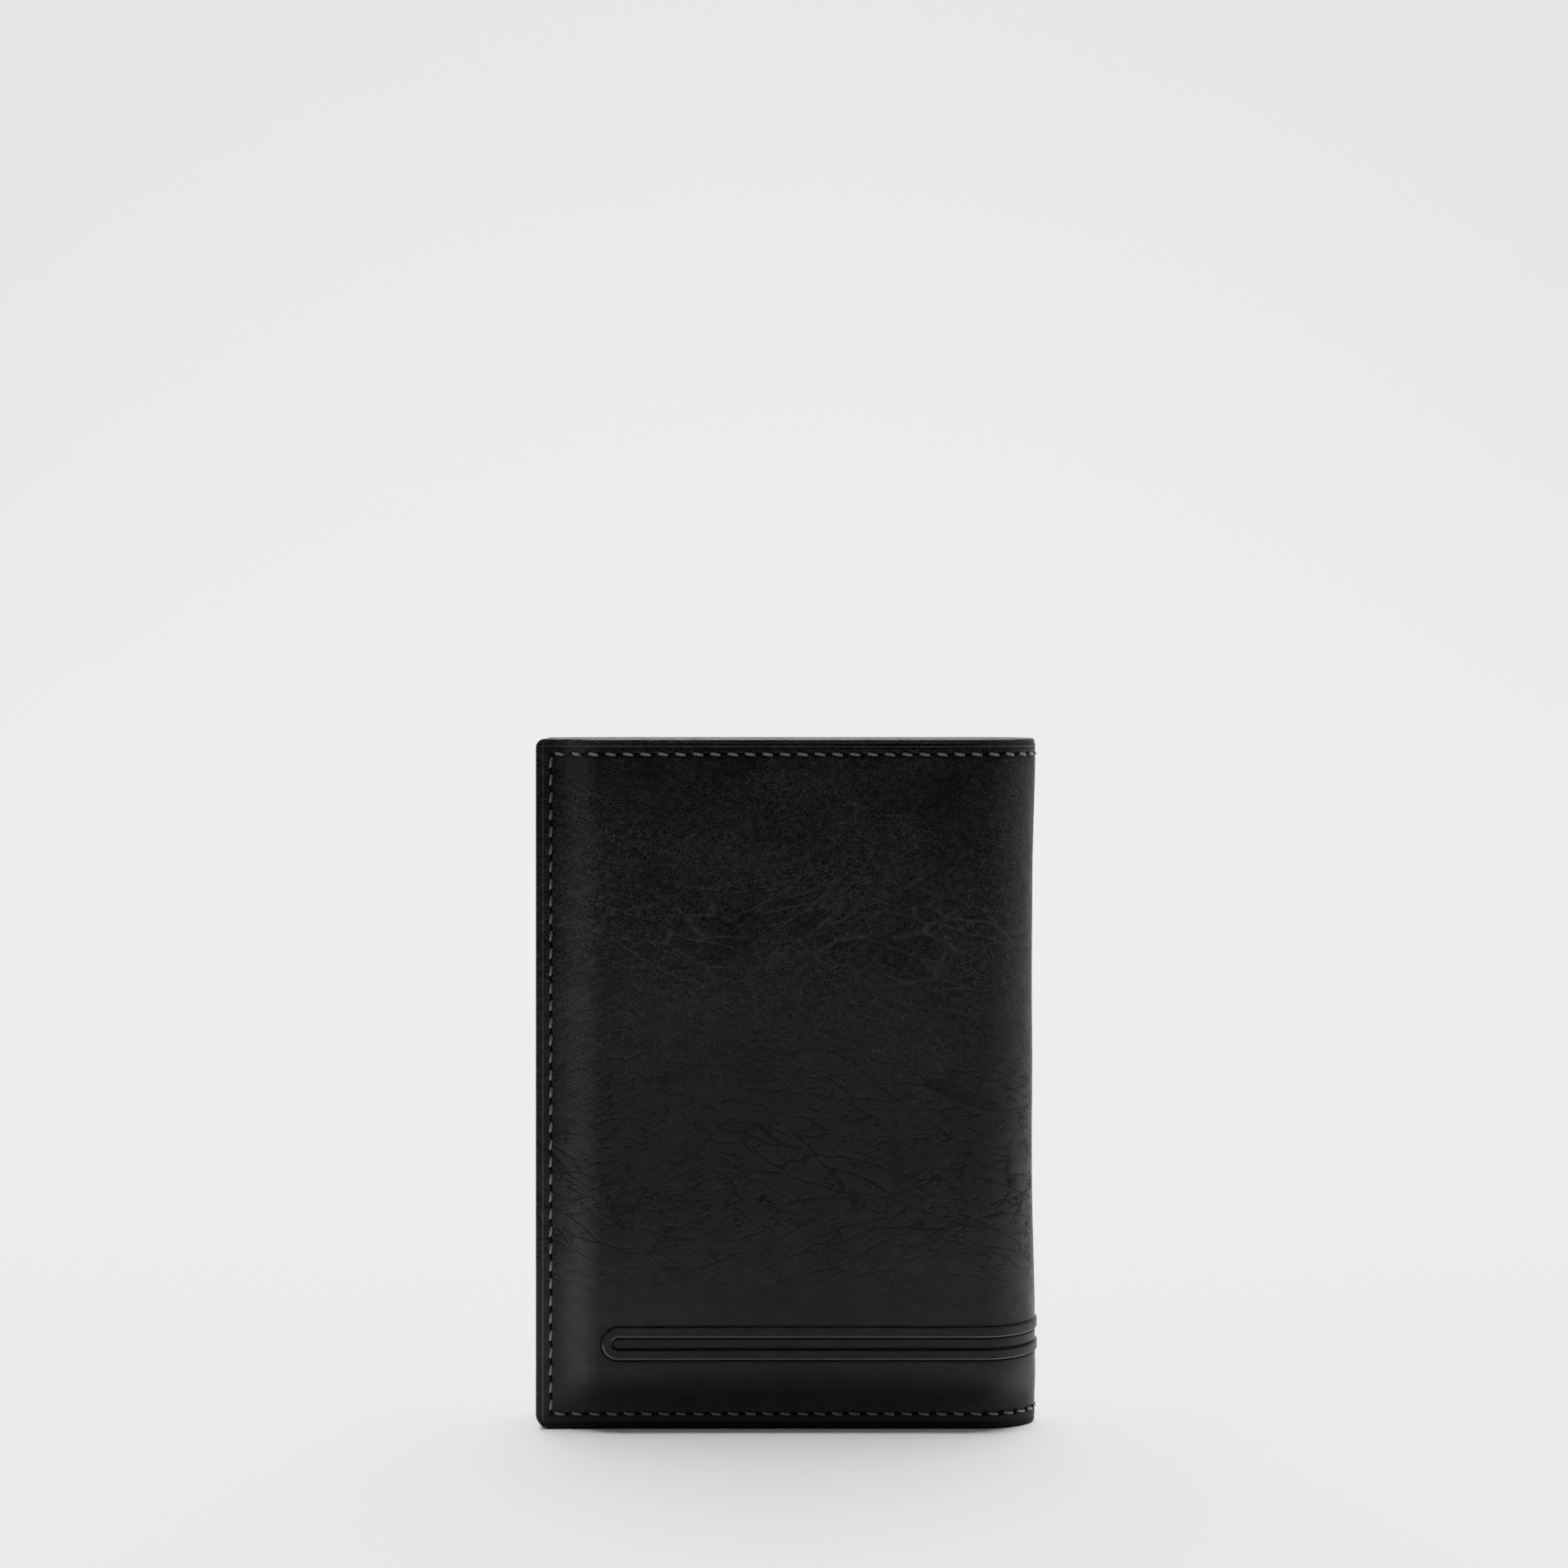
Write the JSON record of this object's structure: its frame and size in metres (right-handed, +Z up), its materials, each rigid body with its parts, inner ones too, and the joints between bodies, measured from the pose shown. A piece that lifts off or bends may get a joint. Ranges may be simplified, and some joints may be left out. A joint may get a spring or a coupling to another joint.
{
  "type": "bifold wallet",
  "caption": "Upright folding wallet in black grained leather with a stitched margin, a raised band near the foot, card pockets, bill spaces and a loose window leaf.",
  "frame": {"origin": "middle of the closed wallet's bottom edge, where it stands", "axes": "+Z up along the wallet's height, +X across its width towards the spine, +Y through its thickness towards the back half"},
  "size_m": [0.095, 0.0228, 0.13],
  "materials": {
    "cover_leather": "black pebble-grained leather with a semi-gloss surface",
    "pocket_leather": "thin black leather, satin",
    "lining_fabric": "fine black woven lining",
    "stiffener_board": "plain grey-brown board",
    "sewing_thread": "waxed dark grey thread",
    "clear_window": "clear flexible film"
  },
  "bodies": {
    "back_half": {"back_cover_leather": "cover_leather", "back_relief_core": "stiffener_board", "back_stiffener_board": "stiffener_board", "back_bill_lining": "lining_fabric", "back_bill_divider": "lining_fabric", "back_seam_welt": "pocket_leather", "back_seam_thread": "sewing_thread", "back_inner_panel": "pocket_leather", "back_card_pocket_1": "pocket_leather", "back_card_pocket_2": "pocket_leather", "back_card_pocket_3": "pocket_leather", "back_card_pocket_4": "pocket_leather", "leaf_mount_strip": "pocket_leather"},
    "spine_1": {"spine_leather_1": "cover_leather", "spine_lining_1": "lining_fabric"},
    "spine_2": {"spine_leather_2": "cover_leather", "spine_lining_2": "lining_fabric"},
    "spine_3": {"spine_leather_3": "cover_leather", "spine_lining_3": "lining_fabric"},
    "front_half": {"front_cover_leather": "cover_leather", "front_relief_core": "stiffener_board", "front_stiffener_board": "stiffener_board", "front_bill_lining": "lining_fabric", "front_bill_divider": "lining_fabric", "front_seam_welt": "pocket_leather", "front_seam_thread": "sewing_thread", "front_inner_panel": "pocket_leather", "front_card_pocket_1": "pocket_leather", "front_card_pocket_2": "pocket_leather", "front_card_pocket_3": "pocket_leather", "front_window_frame": "pocket_leather", "front_window_pane": "clear_window"},
    "leaf": {"leaf_frame_back": "pocket_leather", "leaf_frame_front": "pocket_leather", "leaf_window_pane": "clear_window", "leaf_hinge_strip": "pocket_leather"}
  },
  "joints": [
    {"name": "fold_1", "type": "hinge", "parent": "back_half", "child": "spine_1", "pos_m": [0.04039, 0.01035, 0.065], "axis": [0, 0, 1], "range_deg": [0, 45]},
    {"name": "fold_2", "type": "hinge", "parent": "spine_1", "child": "spine_2", "pos_m": [0.04645, 0.00429, 0.065], "axis": [0, 0, 1], "range_deg": [0, 45]},
    {"name": "fold_3", "type": "hinge", "parent": "spine_2", "child": "spine_3", "pos_m": [0.04645, -0.00429, 0.065], "axis": [0, 0, 1], "range_deg": [0, 45]},
    {"name": "fold_4", "type": "hinge", "parent": "spine_3", "child": "front_half", "pos_m": [0.04039, -0.01035, 0.065], "axis": [0, 0, 1], "range_deg": [0, 45]},
    {"name": "leaf_turn", "type": "hinge", "parent": "back_half", "child": "leaf", "pos_m": [0.0426, 0, 0.062], "axis": [0, 0, 1], "range_deg": [0, 90]}
  ],
  "couplings": [
    {"joint": "fold_1", "follows": "leaf_turn", "ratio": 0.5},
    {"joint": "fold_2", "follows": "leaf_turn", "ratio": 0.5},
    {"joint": "fold_3", "follows": "leaf_turn", "ratio": 0.5},
    {"joint": "fold_4", "follows": "leaf_turn", "ratio": 0.5}
  ]
}
